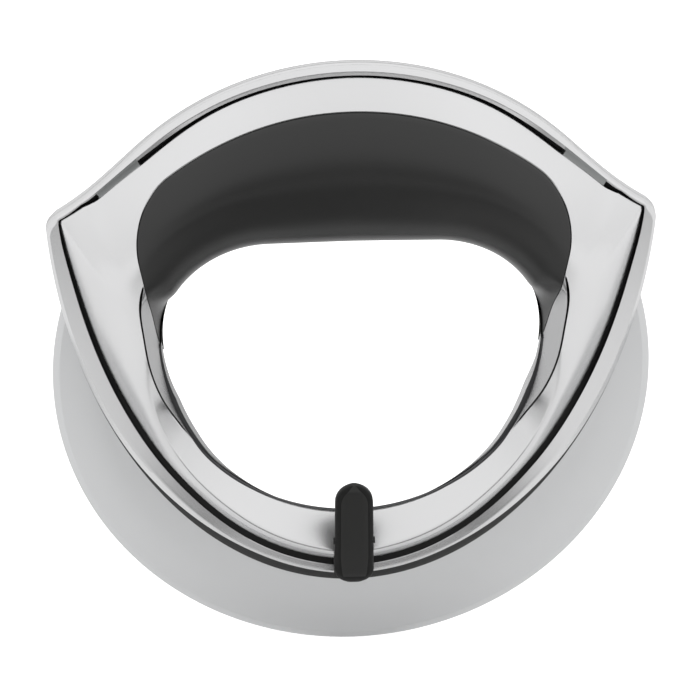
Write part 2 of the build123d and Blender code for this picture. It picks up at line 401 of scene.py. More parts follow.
@dataclass
class Section:
    """One cut across the band of the hand ring, on a ray that leaves the opening's edge.

    Attributes:
        share: How far up it is, from the ring's lowest point, 0, to its crown, 1.
        start: The ray's start on the opening's edge, and ahead its direction.
        width: The distance to the crease, rim to the outer edge and grip to the grip's edge.
        run: The distance to the edge where the opening's wall meets the dome.
        along: The dome line's distances, and depth its depths; its first wall points are the wall.
        groove: The width of the crease's groove, and bridged whether that is covered.
        edge: The width of the line painted black as shadow on the wall's edge.
        length: The length along the dome's line.
    """

    share: float
    start: Array
    ahead: Array
    width: float
    rim: float
    grip: float
    run: float
    along: Array
    depth: Array
    groove: float
    bridged: bool
    edge: float
    wall: int
    length: Array = field(init=False)

    def __post_init__(self) -> None:
        """Measures the length along the dome's line."""
        steps = np.hypot(np.diff(self.along), np.diff(self.depth))
        self.length = np.concatenate(((0.0,), np.cumsum(steps)))

    def depth_at(self, along: float) -> float:
        """Depth of the dome at a distance along the ray."""
        return float(np.interp(along, self.along, self.depth))

    def length_at(self, along: float) -> float:
        """Length of the dome's line up to a distance along the ray."""
        return float(np.interp(along, self.along, self.length))

    def length_on_wall(self, depth: float) -> float:
        """Length of the dome's line up to a depth on the opening's wall."""
        return float(np.interp(depth, self.depth[:self.wall], self.length[:self.wall]))

    def walk(self, lengths: Array | float) -> Array:
        """Distance along the ray and depth at lengths along the dome's line."""
        lines = (self.along, self.depth)
        return np.column_stack([np.interp(lengths, self.length, line) for line in lines])

    def radius(self, along: float) -> float:
        """Distance of a point on the ray from the blade's centre."""
        return float(np.linalg.norm(self.start + self.ahead * along))


class Loop:
    """A closed outline that is walked point by point, with the material slot of each stretch."""

    def __init__(self, first: Span) -> None:
        """Starts at one point."""
        self.points = [first]
        self.slots = []

    def walk(self, points: list[Span] | Array, slot: Slot) -> None:
        """Goes on to more points, over stretches of one slot."""
        self.points += [tuple(point) for point in points]
        self.slots += [int(slot)] * len(points)

    def close(self, slot: Slot) -> None:
        """Goes back to the first point."""
        self.slots.append(int(slot))


@dataclass
class HandRing:
    """The two-part hand ring: polished skins with their rims, soft grips and moulded cores."""

    hole_r: float = 44.5
    hole_rise: float = 7.8
    hole_corner_r: float = 25.0
    hole_top: float = 34.5
    bowl_half: float = 72.26
    bowl_z: float = 55.0
    outline_bottom: float = 54.3
    horn_z: float = 40.0
    horn_round: float = 4.5
    flare_x: float = 51.0
    flare_slope: float = 0.5
    crown_r: float = 71.8
    crown_rise: float = 6.3
    rim_half: float = 2.4
    rim_crown: float = 2.6
    rim_bevel: float = 1.3
    rim_least: float = 1.2
    rim_tilt: float = 0.5
    crown_tilt: float = 0.18
    under_bevel: float = 1.2
    bevel_most: float = 0.58
    crease_half: float = 71.0
    crease_z: float = 75.0
    crease_bottom: float = 49.1
    horn_lift: float = 1.5
    flare_sink: float = 1.0
    foot_depth: float = 1.7
    foot_slope: float = 1.5
    crest_round: float = 0.9
    skin: float = 1.0
    lip_sink: float = 0.6
    seam: float = 0.06
    clear: float = 0.05
    groove_floor: float = 1.8
    groove_rise: float = 0.8
    groove_radii: Span = (53.0, 56.0)
    bridge: Span = (0.624, 0.718)
    rear_mouth: float = 0.3
    grip_top: float = 68.5
    grip_arc_r: float = 68.4
    grip_corner_x: float = 51.8
    grip_corner_r: float = 20.0
    grip_foot_x: float = 46.0
    grip_foot_z: float = 3.0
    grip_tip_z: float = 6.2
    grip_tip: float = 14.0
    grip_round: float = 1.5
    stations: int = 300
    window: int = 37
    part_points: int = 120
    wall_share: float = 0.7
    wall_points: int = 10
    dome_points: int = 34
    under_points: int = 26
    low_crease: tuple[Span, ...] = (
        (0, 90), (0.1, 76.5), (0.2, 64.5), (0.3, 54), (0.4, 44), (0.47, 33.5), (0.515, 24),
    )
    high_crease: tuple[Span, ...] = ((0.73, 46), (0.82, 60), (0.91, 75), (1.0, 90))
    slot_steps: tuple[Triple, ...] = ((1.64, 46.9, 47.9), (-0.7, 50.4, 51.0), (-0.94, 70.6, 71.4))
    mouths: Table = Table((0.0, 0.12, 0.25, 0.42), (0.7, 0.7, 0.8, 1.0))
    leans: Table = Table((0.14, 0.24, 0.34, 0.42, 0.5, 0.62), (0.0, 0.7, 1.6, 1.9, 1.2, 0.0))
    # Width of the black line painted as shadow along the wall's edge, by share up the ring.
    edges: Table = Table((0.2, 0.3, 0.4, 0.5, 0.57), (0.0, 0.45, 0.7, 0.9, 1.2))
    grooves: Table = Table(
        (0.0, 0.1, 0.2, 0.35, 0.45, 0.5, 0.53, 0.545, 0.555, 0.57, 0.6, 0.622, 0.72, 0.8, 1.0),
        (2.4, 2.1, 1.6, 1.4, 1.7, 1.8, 1.4, 0.6, 0.4, 0.5, 0.9, 1.3, 1.3, 0.9, 0.6),
    )
    crease: Array = field(init=False)
    outline: Array = field(init=False)
    grip_line: Array = field(init=False)
    runs: Array = field(init=False)
    ridges: Array = field(init=False)
    lifts: Array = field(init=False)
    heights: Array = field(init=False)

    def __post_init__(self) -> None:
        """Works out the curves that the sections hang on."""
        self.crease = self.crease_curve()
        self.outline = self.outline_curve()
        self.grip_line = self.grip_curve()
        low = (0.0, 0.14, 0.22, 0.3, 0.335, 0.38, 0.43, 0.47, 0.5)
        shares = (*low, 0.53, 0.56, 0.6, 0.65, 0.73, 0.82, 0.91, 1.0)
        crest = (6.3, 9.2, 11.4, 12.8, 13.4, 14.6, 16.2, 17.0)
        low_heights = (8.0, 6.9, 5.8, 5.3, 5.5, 6.9, 9.6, 11.1, 12.0)
        high_heights = (12.5, 12.8, 13.1, 13.5, 14.1, 14.6, 14.9, 15.0)
        self.runs = self.smoothed(shares, (*(0.4,) * 5, 0.45, 1.15, 2.3, 3.7, *crest))
        self.ridges = self.smoothed(shares, (8.5, 7.1, 6.1, 5.6, 5.3, 5.1, 5.0, 5.1, 5.3, *crest))
        self.lifts = self.smoothed(shares, (0.13, 0.13, 0.11, 0.1, 0.14, 0.32, 0.68, 0.88, 0.97, *(1.0,) * 8))
        self.heights = self.smoothed(shares, (*low_heights, *high_heights))

    def hole_point(self, share: float) -> Array:
        """A point on the right half of the hand opening's edge.

        Args:
            share: How far along, from the lowest point, 0, to the highest, 1.

        Returns:
            The point's x and z from the blade's centre.
        """
        side = self.hole_top - self.hole_corner_r - self.hole_rise
        inner = self.hole_r - self.hole_corner_r
        legs = np.array((self.hole_r * math.pi / 2, side, self.hole_corner_r * math.pi / 2, inner))
        low, up, corner, across = np.clip(share * legs.sum() - np.cumsum(legs) + legs, 0.0, legs)
        turn, bend = low / self.hole_r, corner / self.hole_corner_r
        x = self.hole_r * math.sin(turn) - self.hole_corner_r * (1 - math.cos(bend)) - across
        z = self.hole_rise - self.hole_r * math.cos(turn) + up + self.hole_corner_r * math.sin(bend)
        return np.array((x, z))

    def crease_stations(self) -> Array:
        """Share, x and z of the points that the crease passes through, right side."""
        drop = self.crease_z + self.crease_bottom
        inner_r = self.crown_r - self.rim_crown
        shares, turns = np.array(self.low_crease).T
        across, up = self.crease_half * np.cos(np.radians(turns)), -drop * np.sin(np.radians(turns))
        bowl = np.column_stack((shares, across, self.crease_z + up))
        shares, turns = np.array(self.high_crease).T
        across, up = inner_r * np.cos(np.radians(turns)), inner_r * np.sin(np.radians(turns))
        arch = np.column_stack((shares, across, self.crown_rise + up))
        low = (self.crease_z - self.horn_z - self.horn_lift) / drop
        horn = np.array((self.crease_half * math.sqrt(1 - low**2), self.horn_z + self.horn_lift))
        flare = (horn + arch[0, 1:]) / 2 - self.flare_sink * np.array((0.6, 0.8))
        shoulder = horn + (flare - horn) * 0.3 + np.array((0.0, 0.3))
        return np.vstack((bowl, (0.55, *horn), (0.58, *shoulder), (0.64, *flare), arch))

    def crease_curve(self) -> Array:
        """The crease's x and z at each station of the right half, on one smooth closed spline."""
        right = self.crease_stations()
        knots = np.vstack((right, right[-2:0:-1] * (-1, -1, 1) + (2, 0, 0)))
        where, values = knots[:, 0], knots[:, 1:]
        gaps = np.diff(np.append(where, 2.0))
        count = len(where)
        system = np.diag(2 * (np.roll(gaps, 1) + gaps))
        for row, gap in enumerate(gaps):
            after = (row + 1) % count
            system[row, after] = system[after, row] = gap
        climbs = (np.roll(values, -1, axis=0) - values) / gaps[:, None]
        bend = np.linalg.solve(system, 6 * (climbs - np.roll(climbs, 1, axis=0)))
        shares = np.linspace(0.0, 1.0, self.stations + 1)
        row = np.searchsorted(where, shares, side="right") - 1
        after = (row + 1) % count
        gap = gaps[row][:, None]
        ahead = (shares - where[row])[:, None] / gap
        back = 1.0 - ahead
        curve = (back**3 - back) * bend[row] + (ahead**3 - ahead) * bend[after]
        return back * values[row] + ahead * values[after] + curve * gap**2 / 6

    def outline_curve(self) -> Array:
        """Dense x and z points of the rim's outer edge, right half, from the bottom to the crown."""
        drop = self.bowl_z + self.outline_bottom
        low = math.asin((self.bowl_z - self.horn_z) / drop)
        horn = np.array((self.bowl_half * math.cos(low), self.horn_z))
        climb = np.array((self.bowl_half * math.sin(low), drop * math.cos(low)))
        climb /= np.linalg.norm(climb)
        slope = np.array((-1.0, self.flare_slope)) / math.hypot(1.0, self.flare_slope)
        turn_end = math.acos(float(climb @ slope))
        cut = self.horn_round * math.tan(turn_end / 2)
        bowl = arc(np.array((0.0, self.bowl_z)), np.array((self.bowl_half, -drop)), (math.pi / 2, low), 200)
        inward = np.array((-climb[1], climb[0]))
        middle = horn - climb * cut + inward * self.horn_round
        first = math.atan2(-inward[1], -inward[0])
        corner = arc(middle, self.horn_round, (first, first + turn_end), 16)
        flare_z = self.crown_rise + math.sqrt(self.crown_r**2 - self.flare_x**2)
        end = np.array((self.flare_x, flare_z))
        leave = np.array((self.crown_rise - flare_z, self.flare_x)) / self.crown_r
        ahead = np.linspace(0, 1, 60)[:, None]
        flare = self.bend(ahead, (horn, end), (slope, leave), float(np.linalg.norm(end - horn)))
        bowl, flare = (line[np.linalg.norm(line - horn, axis=1) > cut] for line in (bowl, flare))
        turns = (math.acos(self.flare_x / self.crown_r), math.pi / 2)
        crown = arc(np.array((0.0, self.crown_rise)), self.crown_r, turns, 80)[1:]
        line = np.vstack((bowl, corner, flare, crown))
        turned = line[[1, -2]] * (-1.0, 1.0)
        return np.vstack((turned[:1], line, turned[1:]))

    def bend(
        self,
        ahead: Array | float,
        ends: tuple[Array, Array],
        slopes: tuple[Array, Array],
        reach: float,
    ) -> Array:
        """A smooth curve between two ends.

        Args:
            ahead: How far along it is read, 0..1.
            ends: The two ends.
            slopes: The directions at the ends.
            reach: The length that the directions are scaled by.

        Returns:
            The points there.
        """
        back = 1 - ahead
        place = back**2 * (1 + 2 * ahead) * ends[0] + ahead**2 * (1 + 2 * back) * ends[1]
        return place + reach * ahead * back * (back * slopes[0] - ahead * slopes[1])

    def grip_curve(self) -> Array:
        """Dense x and z points of the grip's edge, right half, from its foot to the crown."""
        hub = np.array((0.0, self.grip_top - self.grip_arc_r))
        peak_z = math.sqrt(self.grip_arc_r**2 - self.grip_corner_x**2)
        foot = np.array((self.grip_foot_x, self.grip_foot_z))
        climb = hub + np.array((self.grip_corner_x, peak_z)) - foot
        climb /= np.linalg.norm(climb)
        inward = np.array((-climb[1], climb[0]))
        base = foot + inward * self.grip_corner_r - hub
        half = float(base @ climb)
        inner_r = self.grip_arc_r - self.grip_corner_r
        length = math.sqrt(half**2 - float(base @ base) + inner_r**2) - half
        middle = foot + climb * length + inward * self.grip_corner_r
        out = (middle - hub) / np.linalg.norm(middle - hub)
        first, last = math.atan2(-inward[1], -inward[0]), math.atan2(out[1], out[0])
        side = foot + climb * length * np.linspace(0, 1, 60)[:, None]
        corner = arc(middle, self.grip_corner_r, (first, last), 60)[1:]
        crown = arc(hub, self.grip_arc_r, (last, math.pi / 2), 120)[1:]
        return np.vstack((side, corner, crown, crown[-2] * (-1.0, 1.0)))

    def smoothed(self, shares: tuple[float, ...], values: tuple[float, ...]) -> Array:
        """A table of values at each station of the right half, with its corners rounded off.

        Args:
            shares: How far up each value stands, 0..1.
            values: The values.

        Returns:
            One value for each station.
        """
        rough = np.interp(np.linspace(0.0, 1.0, self.stations + 1), shares, values)
        weight = np.hanning(self.window)
        half = self.window // 2
        padded = np.concatenate((rough[half:0:-1], rough, rough[-2:-2 - half:-1]))
        return np.convolve(padded, weight / weight.sum(), mode="valid")

    def cross(self, start: Array, ahead: Array, curve: Array) -> float:
        """How far a ray runs to a curve.

        Args:
            start: The ray's start.
            ahead: The ray's direction, of length 1.
            curve: The curve's points.

        Returns:
            The longest distance along the ray to a crossing, or 0 with none.
        """
        across = np.array((-ahead[1], ahead[0]))
        side = (curve - start) @ across
        along = (curve - start) @ ahead
        row = np.nonzero((side[:-1] <= 0) != (side[1:] <= 0))[0]
        share = side[row] / (side[row] - side[row + 1])
        return float(np.max(along[row] + share * (along[row + 1] - along[row]), initial=0.0))

    def slot_depth(self, radius: float) -> float:
        """Depth of a half's inner face, which leaves room for blade and bearing ring, at a radius."""
        depth = self.seam
        for rise, first, last in self.slot_steps:
            depth += rise * ease(radius, first, last)
        return depth

    def dome(self, station: int, width: float, spread: float) -> tuple[Array, Array]:
        """The domed section from the opening's edge to the crease.

        Args:
            station: The section's number from the bottom.
            width: The section's width.
            spread: The sum of the section direction's x and z shares, which sets the curves' pull.

        Returns:
            Distances from the opening's edge, and depths there.
        """
        share, run = station / self.stations, float(self.runs[station])
        rise = (1 - math.cos(math.pi * share)) / 2
        height = float(self.heights[station])
        leave = np.array(((1 - rise) ** 6, 1.0))
        edge = np.array((run, height * float(self.lifts[station])))
        facet_share = 1 - ease(share, 0.4, 0.56)
        ridge = np.array((max(float(self.ridges[station]), run), height)) - self.crest_round * facet_share
        foot = np.array((width, self.foot_depth))
        knots = np.array((-self.lip_sink * leave, ridge, foot))
        spans = np.linalg.norm(np.diff(knots, axis=0), axis=1)
        times = np.array((0.0, spans[0], spans.sum()))
        facet = facet_share * (ridge[1] - edge[1]) / max(ridge[0] - edge[0], 0.5)
        slopes = np.array((leave, (1.0, facet), (foot - ridge) * (1.0, self.foot_slope)))
        curve = np.linalg.solve(np.vander(times), knots)
        pulls = 2 * times[:, None] * curve[0] + curve[1]
        weights = np.array((spread, 1.0))
        slopes *= (np.abs(pulls) @ weights / (np.abs(slopes) @ weights))[:, None]
        ahead = np.linspace(0, 1, self.part_points)[:, None]
        lower, upper = (self.bend(ahead, knots[k:k + 2], slopes[k:k + 2], spans[k]) for k in range(2))
        wall = knots[0] + (edge - knots[0]) * ahead / self.wall_share
        face = edge + (ridge - edge) * (ahead - self.wall_share) / (1 - self.wall_share)
        crisp = self.crispness(share)
        lower = (1 - crisp) * lower + crisp * np.where(ahead < self.wall_share, wall, face)
        line = np.vstack((lower, upper[1:]))
        return np.maximum.accumulate(line[:, 0]) + np.arange(len(line)) * 1e-6, line[:, 1]

    def mouth(self, share: float, side: Side) -> float:
        """How far a skin's edge on the opening's wall keeps from the middle plane."""
        return self.rear_mouth if side is Side.REAR else self.mouths.at(share)

    def crispness(self, share: float) -> float:
        """How crisp the edge between the opening's wall and the dome is, from 0, round, to 1."""
        return 1 - ease(share, 0.57, 0.66)

    def section(self, station: int) -> Section:
        """Works out the section at one station of the right half.

        Args:
            station: The station's number from the bottom.

        Returns:
            The section.
        """
        share = station / self.stations
        start = self.hole_point(share)
        gap = self.crease[station] - start
        ahead = gap / np.linalg.norm(gap)
        rim = self.cross(start, ahead, self.outline)
        width = min(float(np.linalg.norm(gap)), rim - self.rim_least)
        narrow = float(np.clip((start[1] - self.grip_tip_z) / self.grip_tip, 0.0, 1.0)) ** 0.7
        grip = self.cross(start, ahead, self.grip_line) * narrow if start[1] > self.grip_tip_z else 0.0
        along, depth = self.dome(station, width, float(np.abs(ahead).sum()))
        return Section(
            share, start, ahead, width, rim, grip, float(self.runs[station]), along, depth,
            groove=self.grooves.at(share),
            bridged=self.bridge[0] < share < self.bridge[1],
            edge=self.crispness(share) * self.edges.at(share),
            wall=self.part_points,
        )

    def skin_loop(self, cut: Section, side: Side) -> Loop:
        """The closed section of a polished skin with its rim.

        Args:
            cut: The section.
            side: Which half it belongs to.

        Returns:
            Distances along the ray and depths, with the slot of each stretch.
        """
        mouth = self.mouth(cut.share, side)
        edge = min(1.0, cut.grip / self.grip_round)
        if cut.grip > 0:
            first, begin, level = cut.length_at(cut.grip + 0.3 * edge), cut.grip, cut.depth_at(cut.grip)
        else:
            first, level = cut.length_on_wall(mouth), mouth
            begin = cut.walk(first)[0, 0] - 0.01
        brink = max(mouth, level - self.skin)
        loop = Loop((begin, brink))
        self.walk_dome(loop, cut, first, (begin, max(brink + 0.01, level - 0.3 * edge)))
        self.walk_rim(loop, cut)
        bed = cut.width + cut.groove / 2
        hollow = cut.width - cut.groove
        inset = self.skin * (1 - ease(cut.grip, 0.0, 2.0))
        for place in np.linspace(cut.rim - 0.3, begin + inset + 0.02, self.under_points):
            level = self.slot_depth(cut.radius(place))
            if place < hollow:
                level = max(level, cut.depth_at(place) - self.skin)
            elif hollow < place < bed + 0.4:
                level = min(level, 0.9)
            loop.walk([(place, level)], Slot.POLISHED)
        last = mouth if cut.grip <= 0 else min(brink, level)
        loop.walk([(begin + inset + 0.01, last)], Slot.POLISHED)
        # The front skin's mouth edge is black: the dark seam between the halves.
        loop.close(Slot.SHADE_AND_SEAM if cut.grip < 1.0 and side is Side.FRONT else Slot.POLISHED)
        return loop

    def walk_dome(self, loop: Loop, cut: Section, first: float, entry: Span) -> None:
        """Goes up the opening's wall, past its edge line, which is painted black as shadow, and over the
        dome.

        Args:
            loop: The outline to go on with.
            cut: The section.
            first: Where the walk starts, as a length along the dome's line.
            entry: The point just before it.
        """
        lip = cut.length_at(cut.run)
        last = cut.length_at(cut.width - cut.groove / 2 - 0.12)
        line = cut.edge * float(np.clip((lip - first - 0.2) / 0.8, 0.0, 1.0))
        brim = max(lip - line / 2, first + 0.2)
        crown = brim + max(line, 0.05)
        # Where the edge line runs, the wall strip takes the darker polish, which is painted shade.
        wall = Slot.SHADED_WALL if line > 0 else Slot.POLISHED
        loop.walk([entry], wall)
        loop.walk(cut.walk(np.linspace(first, brim, self.wall_points)), wall)
        edge = cut.walk(np.array(((brim + crown) / 2, crown)))
        edge[0, 1] -= 0.7 * line
        # The edge line is painted black as shadow.
        loop.walk(edge, Slot.SHADE_AND_SEAM if line > 0.04 else Slot.POLISHED)
        loop.walk(cut.walk(np.linspace(crown, last, self.dome_points)[1:]), Slot.POLISHED)

    def walk_rim(self, loop: Loop, cut: Section) -> None:
        """Goes through the groove along the crease, whose floor is painted black as shade, over the flat rim
        and down its edge, which is painted dark as shade low on the ring.

        Args:
            loop: The outline to go on with.
            cut: The section.
        """
        foot, bed, top = cut.width - cut.groove / 2, cut.width + cut.groove / 2, self.rim_half
        under = 1 - ease(cut.share, 0.1, 0.5)
        tilt = self.rim_tilt * (1 - ease(cut.share, 0.12, 0.4))
        tilt -= self.crown_tilt * ease(cut.share, 0.72, 0.82)
        crest = cut.depth_at(foot)
        sink = self.groove_rise * ease(cut.radius(cut.width), *self.groove_radii)
        floor = top - 0.05 if cut.bridged else self.groove_floor - sink
        loop.walk([(foot - 0.03, crest - 0.02), (foot + 0.02, min(crest - 0.1, floor + 0.6))], Slot.POLISHED)
        # The groove's floor is painted black as shade, except where the bridge covers it.
        cover = Slot.BRIDGE if cut.bridged else Slot.SHADE_AND_SEAM
        loop.walk([(foot + 0.08, floor + 0.04), (foot + 0.14, floor), (bed - 0.14, floor)], cover)
        brow = max(top - tilt - 0.2, floor + 0.03)
        loop.walk([(bed - 0.08, floor + 0.02), (bed - 0.03, brow), (bed + 0.05, top - tilt)], cover)
        bevel = min(self.rim_bevel + self.under_bevel * under, (cut.rim - bed) * self.bevel_most)
        crown = top - 0.25 * tilt
        for share in np.linspace(0.12, 1.0, 7):
            level = top - tilt * (1 - share) if share < 0.8 else top - 0.25 * tilt * (share - 0.8) / 0.2
            place = bed + 0.05 + (cut.rim - bevel - bed - 0.05) * share
            loop.walk([(place, level)], cover if cut.bridged else Slot.POLISHED)
        low = self.slot_depth(cut.radius(cut.rim))
        fall = min(bevel * 0.85, crown - low - 0.15)
        # From here the rim's bevel, and its outer wall below, are painted dark as shade where the ring is
        # low.
        shade = max(0.12, 1 - 0.9 * under)
        dark = Slot.UNDER_SHADE if under > 0.02 else Slot.POLISHED
        turns = (0.06, Slot.POLISHED), (shade, Slot.POLISHED), (0.55 * shade + 0.43, dark), (0.97, dark)
        for share, slot in turns:
            loop.walk([(cut.rim - bevel * (1 - share), crown - fall * share)], slot)
        side = Slot.UNDER_SHADE if under > 0.1 else Slot.POLISHED
        loop.walk([(cut.rim, crown - fall - 0.05), (cut.rim, low + 0.01)], side)

    def grip_loop(self, cut: Section) -> Array:
        """The closed section of a grip.

        Args:
            cut: The section.

        Returns:
            Distances along the ray and depths.
        """
        grip = cut.grip - 0.1
        edge = min(1.0, grip / self.grip_round)
        first, last = cut.length_on_wall(self.seam), cut.length_at(grip - 0.3 * edge)
        outer = cut.walk(np.linspace(first, last, self.dome_points + 8))
        brink = cut.depth_at(grip)
        brim = (grip - 0.08 * edge, max(self.seam, brink - 0.08 * edge))
        wall = (grip, max(self.seam, brink - 0.3 * edge))
        under = []
        for place in np.linspace(grip, 0.05 * edge, self.under_points):
            most = max(self.seam, brink - 0.4 * edge)
            under.append((place, min(self.slot_depth(cut.radius(place)), most)))
        return np.array((*outer, brim, wall, *under))

    def core_loop(self, cut: Section, side: Side) -> Array:
        """The closed section of a moulded core under its skin.

        Args:
            cut: The section.
            side: Which half it belongs to.

        Returns:
            Distances along the ray and depths.
        """
        first = cut.grip + self.skin + 0.1
        last = cut.width - cut.groove - 0.1
        ahead = np.linspace(first, last, self.under_points)
        low = np.array([self.slot_depth(cut.radius(place)) for place in ahead]) + self.clear
        high = np.interp(ahead, cut.along, cut.depth) - self.skin - self.clear
        high = np.maximum(high, low + 0.1)
        tongue = first - 0.06
        if cut.grip < 0.1 and side is Side.FRONT:
            tongue = 0.3 * ease(cut.share, 0.18, 0.32)
        level = self.mouth(cut.share, side) - 0.06
        ends = [(tongue, level), (first - 0.03, level)], [(first - 0.02, low[0]), (tongue, low[0])]
        outer, inner = np.column_stack((ahead, high)), np.column_stack((ahead, low))
        return np.vstack((ends[0], outer, inner[::-1], ends[1]))

    def place(self, cut: Section, loop: Array, side: Side, mirror: bool) -> Array:
        """Puts a section's points into the object's frame; the rear wall leans inside the front one.

        Args:
            cut: The section.
            loop: Distances and depths.
            side: Which half it belongs to.
            mirror: Whether it is on the left.

        Returns:
            The points in millimetres.
        """
        along = loop[:, :1]
        if side is Side.REAR:
            along = along - self.leans.at(cut.share) * (1 - ease(along, 0.5, 6.5))
        flat = cut.start + along * cut.ahead
        x = -flat[:, 0] if mirror else flat[:, 0]
        return np.column_stack((x, side.value * loop[:, 1], flat[:, 1] + CENTRE_Z))

    def build(self) -> list[Piece]:
        """Builds both skins, grips and cores, and puts them in place of their solids.

        Returns:
            The six new pieces.
        """
        cuts = [self.section(station) for station in range(self.stations + 1)]
        walk = [(cut, False) for cut in cuts] + [(cut, True) for cut in reversed(cuts[1:-1])]
        held = [(cut, mirror) for cut, mirror in walk if cut.grip > 0.1]
        made = []
        for side, tag in ((Side.FRONT, "front"), (Side.REAR, "rear")):
            flip = side is Side.FRONT
            loops = {id(cut): self.skin_loop(cut, side) for cut in cuts}
            rows = [self.place(cut, np.array(loops[id(cut)].points), side, mirror) for cut, mirror in walk]
            choice = [slot for cut, mirror in walk for slot in loops[id(cut)].slots]
            finishes = [POLISHED, SHADE_AND_SEAM_BLACK, BRIDGE, UNDER_EDGE_SHADE, SHADED_WALL_POLISH]
            skin = loft_piece(f"{tag}_skin", rows, finishes, flip=flip, choice=choice)
            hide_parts(f"{tag}_shell")
            dress(f"{tag}_shell", POLISHED)
            rows = [self.place(cut, self.grip_loop(cut), side, mirror) for cut, mirror in held]
            grip = loft_piece(f"{tag}_soft_grip", rows, [SOFT], closed=False, flip=flip)
            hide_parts(f"{tag}_grip")
            dress(f"{tag}_grip", SOFT)
            rows = [self.place(cut, self.core_loop(cut, side), side, mirror) for cut, mirror in walk]
            core = loft_piece(f"{tag}_moulded_core", rows, [CORE_BLACK], flip=flip)
            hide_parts(f"{tag}_core")
            dress(f"{tag}_core", CORE_BLACK)
            made += [skin, grip, core]
        for piece in made:
            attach(piece, "handle")
        return made


@dataclass
class RingBlade:
    """The ring blade that turns in the hand ring."""

    edge_r: float = 69.99
    bore_r: float = 49.5
    half: float = 0.75
    bevel: float = 1.6
    edge_half: float = 0.12
    flat: float = 9.0
    turns: int = 360

    def build(self) -> list[Piece]:
        """Turns the blade's section around its axis.

        Returns:
            The blade, in place of its solid.
        """
        ground = self.edge_r - self.bevel
        section = [
            (self.bore_r, -self.half + 0.1), (self.bore_r + 0.1, -self.half),
            (ground - self.flat, -self.half), (ground - 0.05, -self.half), (ground + 0.1, -self.half + 0.03),
            (self.edge_r - 0.03, -self.edge_half - 0.01), (self.edge_r, -self.edge_half * 0.6),
        ]
        section += [(radius, -depth) for radius, depth in reversed(section)]
        rows = []
        for turn in np.linspace(0, 2 * math.pi, self.turns, endpoint=False):
            across, up = math.cos(turn), math.sin(turn)
            rows.append([(radius * across, depth, CENTRE_Z + radius * up) for radius, depth in section])
        blade = loft_piece("ring_blade", rows, [SATIN], sharp=12.0)
        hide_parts("blade")
        dress("blade", SATIN)
        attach(blade, "blade")
        return [blade]


@dataclass
class SaddleFoot:
    """The flared foot that carries the lever's saddle on the lower band."""

    band: Section
    band_drop: float = 36.7
    middle_drop: float = 40.9
    top_depth: float = 9.7
    half_x: float = 2.2
    half_z: float = 2.4
    flare: float = 0.7
    sink: float = 0.35
    least: float = 0.5
    corners: int = 28
    levels: int = 7

    def build(self) -> list[Piece]:
        """Lofts the foot from the saddle down into the band.

        Returns:
            The foot.
        """
        rows = []
        for level in np.linspace(0.0, 1.0, self.levels):
            flare = self.flare * level**2
            row = []
            for turn in np.linspace(0, 2 * math.pi, self.corners, endpoint=False):
                ways = math.cos(turn), math.sin(turn)
                across, down = (math.copysign(math.sqrt(abs(way)), way) for way in ways)
                drop = self.middle_drop + (self.half_z + flare) * down
                seat = min(self.band.depth_at(drop - self.band_drop) - self.sink, self.top_depth - self.least)
                depth = (1 - level) * self.top_depth + level * seat
                row.append(((self.half_x + flare) * across, -depth, CENTRE_Z - drop))
            rows.append(row)
        foot = loft_piece("saddle_foot", rows, [LEVER_BLACK], closed=False, sharp=40.0)
        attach(foot, "handle")
        return [foot]


